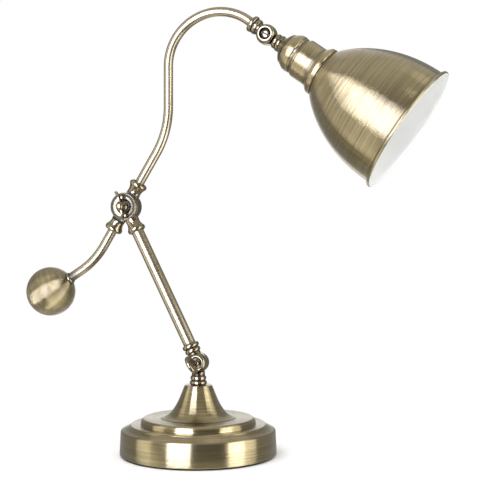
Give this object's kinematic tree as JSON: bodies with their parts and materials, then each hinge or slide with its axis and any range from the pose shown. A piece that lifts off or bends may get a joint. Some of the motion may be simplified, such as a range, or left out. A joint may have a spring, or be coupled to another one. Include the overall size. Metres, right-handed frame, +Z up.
{
  "type": "swing arm desk lamp",
  "caption": "Swing arm desk lamp: stepped round base, leaning lower arm, pivoting lever with a curved upper arm and a ball counterweight, and a tilting bell shade.",
  "frame": {"origin": "middle of the base's underside, on the surface that the lamp stands on", "axes": "+Z up, +X towards the shade side, -X towards the counterweight, -Y the front with the wing nut; every hinge axis is parallel to Y"},
  "size_m": [0.4313, 0.1581, 0.4447],
  "materials": {
    "antique_brass": "brushed antique brass, satin lacquer",
    "cast_brass": "polished antique brass with dark patina in the grooves",
    "zinc_steel": "zinc plated",
    "cast_iron": "rough casting",
    "felt": "black felt",
    "fibre": "fibre washer",
    "rubber": "moulded cord bush",
    "porcelain": "glazed white ceramic",
    "white_enamel": "satin white paint inside the shade"
  },
  "bodies": {
    "base": {"felt_pad": "felt", "base_weight": "cast_iron", "base_shell": "antique_brass", "base_cone": "antique_brass", "base_nipple": "zinc_steel", "base_nut": "zinc_steel", "base_washer": "zinc_steel", "cable_gland": "rubber", "base_knuckle": "cast_brass", "base_knuckle_washer": "fibre"},
    "lower_arm": {"lower_knuckle": "cast_brass", "lower_arm_tube": "antique_brass", "lower_hub": "cast_brass", "pivot_washer": "zinc_steel"},
    "lever": {"lever_hub": "cast_brass", "pivot_bolt": "zinc_steel", "upper_arm_tube": "antique_brass", "counterweight_rod": "antique_brass", "counterweight_collar": "cast_brass", "counterweight_ball": "antique_brass", "arm_end_knuckle": "cast_brass", "head_washer": "fibre", "head_screw": "cast_brass"},
    "head": {"holder_knuckle": "cast_brass", "holder_cap": "antique_brass", "holder_upper_shell": "antique_brass", "holder_nut": "zinc_steel", "holder_lower_shell": "antique_brass", "shade_ring": "antique_brass", "shade": "antique_brass", "shade_retainer": "porcelain", "socket_body": "porcelain", "socket_thread": "antique_brass", "socket_contact": "zinc_steel"},
    "thumb_screw": {"thumb_screw": "cast_brass"},
    "wing_nut": {"wing_nut": "cast_brass"}
  },
  "joints": [
    {"name": "lower_arm_hinge", "type": "hinge", "parent": "base", "child": "lower_arm", "pos_m": [0, 0, 0.0915], "axis": [0, 1, 0], "range_deg": [-35, 50]},
    {"name": "lever_hinge", "type": "hinge", "parent": "lower_arm", "child": "lever", "pos_m": [-0.07723, 0, 0.24742], "axis": [0, -1, 0], "range_deg": [-45, 4]},
    {"name": "shade_hinge", "type": "hinge", "parent": "lever", "child": "head", "pos_m": [0.0705, 0, 0.41442], "axis": [0, 1, 0], "range_deg": [-70, 60]},
    {"name": "thumb_screw_turn", "type": "hinge", "parent": "base", "child": "thumb_screw", "pos_m": [0, 0, 0.0915], "axis": [0, -1, 0], "range_deg": [-180, 180]},
    {"name": "wing_nut_turn", "type": "hinge", "parent": "lower_arm", "child": "wing_nut", "pos_m": [-0.07723, 0, 0.24742], "axis": [0, -1, 0], "range_deg": [-180, 180]}
  ]
}
